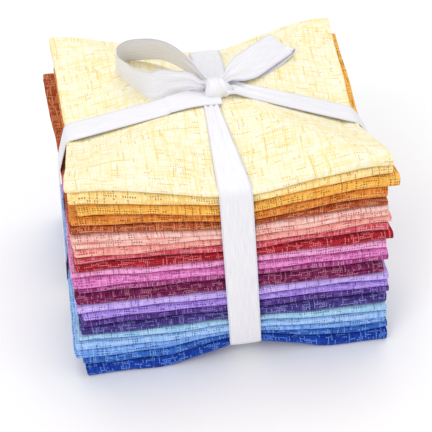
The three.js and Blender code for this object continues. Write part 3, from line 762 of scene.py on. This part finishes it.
def knot():
    """The short turn of ribbon that wraps the crossing, gathered into pleats, with its edges rolled under."""
    wrap = KNOT_WRAP
    angle = np.radians(np.linspace(wrap["start"], wrap["end"], wrap["rows"]))[:, None]
    u = np.linspace(-1, 1, wrap["columns"])[None, :]
    seat = knot_seat()
    ends = np.cos(angle) ** 2
    rolled = 1 - 0.42 * np.abs(u) ** 3
    ripple = wrap["pleat"] * np.cos(wrap["count"] * math.pi * u + 0.5 * np.sin(2 * angle)) * (1 - u**4)
    tilt = 1.1 * np.cos(angle) * u
    half_y = KNOT["half_y"] * rolled + ripple
    height = (KNOT["height"] - 2.2) * rolled + ripple
    x = KNOT["x"] + u * (wrap["half_width"] + wrap["flare"] * ends) + 0.8 * np.cos(angle)
    y = KNOT["y"] - half_y * np.cos(angle) + tilt
    z = seat + BANDS_UNDER_KNOT + 1.6 + height * np.sin(angle)
    outer = np.stack(np.broadcast_arrays(x, y, z), axis=-1)
    centre = np.array([KNOT["x"], KNOT["y"], seat + BANDS_UNDER_KNOT + 1.2])
    inward = centre - outer
    inward /= np.linalg.norm(inward, axis=-1)[..., None]
    length = math.pi * (KNOT["half_y"] + KNOT["height"]) / 2
    flat = np.stack(
        np.broadcast_arrays((u + 1) / 2 * RIBBON_WIDTH, (angle - angle[0]) / (angle[-1] - angle[0]) * length),
        axis=-1,
    )
    piece = thin_sheet("satin_knot", outer, outer + inward * RIBBON_THICK, flat)
    return ribbon_piece("satin_knot", piece)


# Materials


def linear(colour):
    """A screen colour as the linear colour that the shader takes."""
    return tuple(c / 12.92 if c <= 0.04045 else ((c + 0.055) / 1.055) ** 2.4 for c in colour) + (1.0,)


class Shader:
    """Short words for making a material's nodes."""

    def __init__(self, name):
        self.material = bpy.data.materials.new(name)
        self.material.use_nodes = True
        self.tree = self.material.node_tree
        self.surface = self.tree.nodes["Principled BSDF"]

    def add(self, kind, **settings):
        node = self.tree.nodes.new(kind)
        for key, value in settings.items():
            setattr(node, key, value)
        return node

    def put(self, node, **inputs):
        for name, value in inputs.items():
            by_number = name.startswith("at")
            socket = node.inputs[int(name[2:]) if by_number else name.replace("_", " ")]
            if isinstance(value, bpy.types.NodeSocket):
                self.tree.links.new(value, socket)
            else:
                socket.default_value = value
        return node

    def math(self, operation, a, b=0.0, c=0.0):
        node = self.add("ShaderNodeMath", operation=operation)
        return self.put(node, at0=a, at1=b, at2=c).outputs[0]

    def ramp(self, value, low, high, start=0.0, end=1.0):
        node = self.add("ShaderNodeMapRange", interpolation_type="SMOOTHSTEP")
        return self.put(node, at0=value, at1=low, at2=high, at3=start, at4=end).outputs[0]

    def mix(self, share, a, b):
        node = self.add("ShaderNodeMix", data_type="RGBA")
        return self.put(node, at0=share, at6=a, at7=b).outputs[2]

    def noise(self, x, y, scale, detail=2.0):
        place = self.put(self.add("ShaderNodeCombineXYZ"), at0=x, at1=y).outputs[0]
        node = self.put(self.add("ShaderNodeTexNoise"), Vector=place, Scale=scale, Detail=detail)
        return node.outputs[0]

    def random(self, x, seed):
        place = self.put(self.add("ShaderNodeCombineXYZ"), at0=x, at1=seed).outputs[0]
        return self.put(self.add("ShaderNodeTexWhiteNoise", noise_dimensions="2D"), Vector=place).outputs[0]


def flat_place(shader):
    """The place in the flat cloth, in mm, as two values."""
    uv = shader.add("ShaderNodeUVMap", uv_map="flat_cloth")
    parts = shader.put(shader.add("ShaderNodeSeparateXYZ"), at0=uv.outputs[0])
    x = shader.math("MULTIPLY", parts.outputs[0], 1000.0)
    y = shader.math("MULTIPLY", parts.outputs[1], 1000.0)
    return x, y


def brushed_lines(shader, across, along, pitch, width, seed, share):
    """Broken, uneven lines at irregular places, each one line of the print's hatching."""
    cell = shader.math("DIVIDE", across, pitch)
    number = shader.math("FLOOR", cell)
    place = shader.math("FRACT", cell)
    centre = shader.math("MULTIPLY_ADD", shader.random(number, seed), 0.7, 0.15)
    distance = shader.math("MULTIPLY", shader.math("ABSOLUTE", shader.math("SUBTRACT", place, centre)), pitch)
    line = shader.ramp(distance, width * 0.35, width * 0.75, 1.0, 0.0)
    breaks = shader.noise(shader.math("MULTIPLY", along, 0.11), shader.math("MULTIPLY", number, 5.3), 1.0)
    kept = shader.ramp(breaks, 0.62 - 0.3 * share, 0.68 - 0.3 * share)
    return shader.math("MULTIPLY", line, kept)


HATCH = [
    dict(pitch=5.6, width=0.8, share=0.95),
    dict(pitch=2.7, width=0.5, share=0.8),
    dict(pitch=1.4, width=0.32, share=0.55),
]
DOTS = dict(pitch=1.15, radius=0.36)
SPECKS = dict(pitch=0.82, radius=0.27)
DOT_RUN = dict(length=9.0, soft=0.004)


def small_dots(shader, x, y, size, share, seed):
    """Tiny dots on a close grid, kept in short runs along both threads of the cloth."""
    pitch, radius = size["pitch"], size["radius"]
    along = shader.math("DIVIDE", x, pitch)
    up = shader.math("DIVIDE", y, pitch)
    off_x = shader.math("SUBTRACT", shader.math("FRACT", along), 0.5)
    off_y = shader.math("SUBTRACT", shader.math("FRACT", up), 0.5)
    square_x = shader.math("MULTIPLY", off_x, off_x)
    square = shader.math("ADD", square_x, shader.math("MULTIPLY", off_y, off_y))
    distance = shader.math("MULTIPLY", shader.math("SQRT", square), pitch)
    dot = shader.ramp(distance, radius * 0.7, radius * 1.25, 1.0, 0.0)
    column = shader.math("FLOOR", along)
    row = shader.math("FLOOR", up)
    kept = None
    for place, line in ((column, row), (row, column)):
        apart = shader.math("MULTIPLY_ADD", line, 3.7, seed)
        run = shader.noise(shader.math("DIVIDE", place, DOT_RUN["length"]), apart, 1.0, 0.0)
        edge = 0.76 - 0.4 * share
        drawn = shader.ramp(run, edge, edge + DOT_RUN["soft"])
        kept = drawn if kept is None else shader.math("MAXIMUM", kept, drawn)
    return shader.math("MULTIPLY", dot, kept)


WEAVE_PITCH = 0.36


def weave(shader, x, y, pitch, distance):
    """The bump of a plain weave."""
    turn = 2 * math.pi / pitch
    warp = shader.math("SINE", shader.math("MULTIPLY", x, turn))
    weft = shader.math("SINE", shader.math("MULTIPLY", y, turn))
    height = shader.math("MULTIPLY", warp, weft)
    node = shader.add("ShaderNodeBump")
    return shader.put(node, Strength=0.35, Distance=distance, Height=height).outputs[0]


def cotton(name, look, seed):
    """Printed quilting cotton: a soft ground, broken hatching both ways, dots and specks, on a weave."""
    shader = Shader(f"cotton_{name}")
    x, y = flat_place(shader)
    sway = shader.noise(shader.math("MULTIPLY", x, 0.03), shader.math("MULTIPLY", y, 0.03), 1.0)
    sway = shader.math("MULTIPLY_ADD", sway, 5.0, seed * 7.3)
    x_moved = shader.math("ADD", x, sway)
    y_moved = shader.math("ADD", y, sway)
    lines = None
    for row in HATCH:
        share = row["share"] * look["lines"]
        for across, along, offset in ((x_moved, y_moved, 0), (y_moved, x_moved, 50)):
            line_seed = seed * 3.1 + offset + row["pitch"]
            drawn = brushed_lines(shader, across, along, row["pitch"], row["width"], line_seed, share)
            lines = drawn if lines is None else shader.math("MAXIMUM", lines, drawn)
    patch_x = shader.math("MULTIPLY", x_moved, 0.045)
    patches = shader.noise(patch_x, shader.math("MULTIPLY", y_moved, 0.045), 1.0)
    patches = shader.ramp(patches, 0.35, 0.65, 0.45, 1.0)
    lines = shader.math("MULTIPLY", lines, patches)
    cloud = shader.noise(x_moved, y_moved, 0.16, 3.0)
    tone = shader.ramp(cloud, 0.3, 0.75, 0.0, 0.34)
    ground = shader.mix(tone, linear(look["ground"]), linear(look["line"]))
    printed = shader.mix(shader.math("MULTIPLY", lines, 0.85), ground, linear(look["line"]))
    dots = small_dots(shader, x_moved, y_moved, DOTS, look["dots"], seed * 1.7 + 0.4)
    coloured = shader.mix(shader.math("MULTIPLY", dots, 0.9), printed, linear(look["dot"]))
    specks = small_dots(shader, y_moved, x_moved, SPECKS, look["dots"] * 0.9, seed * 2.3 + 40.7)
    coloured = shader.mix(shader.math("MULTIPLY", specks, 0.8), coloured, linear(look["speck"]))
    bump = weave(shader, x, y, WEAVE_PITCH, 0.00004)
    shader.put(
        shader.surface,
        Base_Color=coloured,
        Roughness=0.88,
        Specular_IOR_Level=0.18,
        Sheen_Weight=0.06,
        Sheen_Roughness=0.5,
        Normal=bump,
    )
    return shader.material


RIB_PITCH = 0.42
# The ribbon's white, and the lilac grey of the same ribbon in shade, which is painted into its colour as
# painted shade
RIBBON_WHITE = (0.935, 0.93, 0.94)
RIBBON_PAINTED_SHADE = (0.76, 0.755, 0.84)


@functools.cache
def satin():
    """White satin ribbon with fine cross ribs and a woven edge. Its colour is painted shade: the white goes
    towards the ribbon's shaded lilac grey along lengthwise streaks and at the woven edges. All its pieces
    share one material.
    """
    shader = Shader("satin_ribbon")
    x, y = flat_place(shader)
    half = RIBBON_WIDTH / 2
    edge = shader.math("SUBTRACT", half, shader.math("ABSOLUTE", shader.math("SUBTRACT", x, half)))
    selvage = shader.ramp(edge, 0.7, 1.0, 1.0, 0.0)
    # Lengthwise streaks: they vary the satin's roughness, and they paint shade into its colour
    shade_streaks = shader.noise(shader.math("MULTIPLY", x, 2.6), shader.math("MULTIPLY", y, 0.09), 1.0, 3.0)
    # Painted shade: the share of the shaded colour, some at the real woven edges and more along the streaks
    tone = shader.math("MULTIPLY_ADD", selvage, 0.35, shader.ramp(shade_streaks, 0.3, 0.75, 0.0, 0.3))
    colour = shader.mix(tone, linear(RIBBON_WHITE), linear(RIBBON_PAINTED_SHADE))
    ribs = shader.math("SINE", shader.math("MULTIPLY", y, 2 * math.pi / RIB_PITCH))
    height = shader.math("MULTIPLY_ADD", selvage, 1.5, shader.math("MULTIPLY", ribs, 0.5))
    bump = shader.put(shader.add("ShaderNodeBump"), Strength=0.3, Distance=0.00005, Height=height).outputs[0]
    roughness = shader.ramp(shade_streaks, 0.3, 0.7, 0.36, 0.5)
    shader.put(
        shader.surface,
        Base_Color=colour,
        Roughness=roughness,
        Specular_IOR_Level=0.35,
        Sheen_Weight=0.08,
        Sheen_Roughness=0.3,
        Anisotropic=0.35,
        Normal=bump,
    )
    return shader.material


# Light, floor and camera


def floor():
    mesh = bpy.data.meshes.new("floor")
    half = 3.0
    corners = [(-half, -half, 0), (half, -half, 0), (half, half, 0), (-half, half, 0)]
    mesh.from_pydata(corners, [], [(0, 1, 2, 3)])
    plane = bpy.data.objects.new("floor", mesh)
    bpy.context.scene.collection.objects.link(plane)
    shader = Shader("pale_floor")
    cloud = shader.add("ShaderNodeTexCoord").outputs["Object"]
    noise = shader.put(shader.add("ShaderNodeTexNoise"), Vector=cloud, Scale=3.0).outputs[0]
    colour = shader.mix(noise, (0.95, 0.95, 0.95, 1), (0.98, 0.98, 0.98, 1))
    shader.put(shader.surface, Base_Color=colour, Roughness=0.9, Specular_IOR_Level=0.1)
    mesh.materials.append(shader.material)


LIGHTS = [
    dict(name="key", place=(-0.65, -0.85, 0.85), size=0.7, watts=5.0),
    dict(name="fill", place=(0.95, -0.6, 0.6), size=1.1, watts=1.7),
    dict(name="top", place=(0.1, 0.45, 1.3), size=1.2, watts=6.7),
]
WORLD_LIGHT = 0.66


def lights():
    middle = Vector((0, 0, PILE_HEIGHT / 2000))
    for row in LIGHTS:
        data = bpy.data.lights.new(row["name"], "AREA")
        data.shape = "DISK"
        data.size = row["size"]
        data.energy = row["watts"]
        lamp = bpy.data.objects.new(row["name"], data)
        lamp.location = row["place"]
        lamp.rotation_euler = (middle - lamp.location).to_track_quat("-Z", "Y").to_euler()
        bpy.context.scene.collection.objects.link(lamp)
    world = bpy.context.scene.world or bpy.data.worlds.new("studio")
    bpy.context.scene.world = world
    world.use_nodes = True
    background = world.node_tree.nodes["Background"]
    background.inputs["Color"].default_value = (1.0, 1.0, 1.0, 1.0)
    background.inputs["Strength"].default_value = WORLD_LIGHT


def camera():
    azimuth, elevation = math.radians(CAMERA["azimuth"]), math.radians(CAMERA["elevation"])
    back = Vector(
        (
            math.sin(azimuth) * math.cos(elevation),
            -math.cos(azimuth) * math.cos(elevation),
            math.sin(elevation),
        )
    )
    right = Vector((math.cos(azimuth), math.sin(azimuth), 0))
    up = back.cross(right)
    rotation = Matrix((right, up, back)).transposed() @ Matrix.Rotation(math.radians(CAMERA["roll"]), 3, "Z")
    data = bpy.data.cameras.new("camera")
    data.lens = CAMERA["focal_pixels"] / IMAGE_SIZE * data.sensor_width
    data.clip_start = 0.05
    eye = bpy.data.objects.new("camera", data)
    eye.location = Vector(metres(CAMERA["target"])) + back * CAMERA["distance"] / 1000
    eye.rotation_euler = rotation.to_euler()
    bpy.context.scene.collection.objects.link(eye)
    bpy.context.scene.camera = eye


def build():
    bpy.context.scene.view_settings.view_transform = "Standard"
    camera()
    lights()
    floor()
    pieces, clouds = zip(*(folded_cut(index) for index in range(len(CUTS))))
    cloth = np.concatenate(clouds)
    side_band(cloth)
    front_band(cloth)
    knot()
    bow_loop("satin_left_loop", LEFT_LOOP)
    bow_loop("satin_right_loop", RIGHT_LOOP)


build()
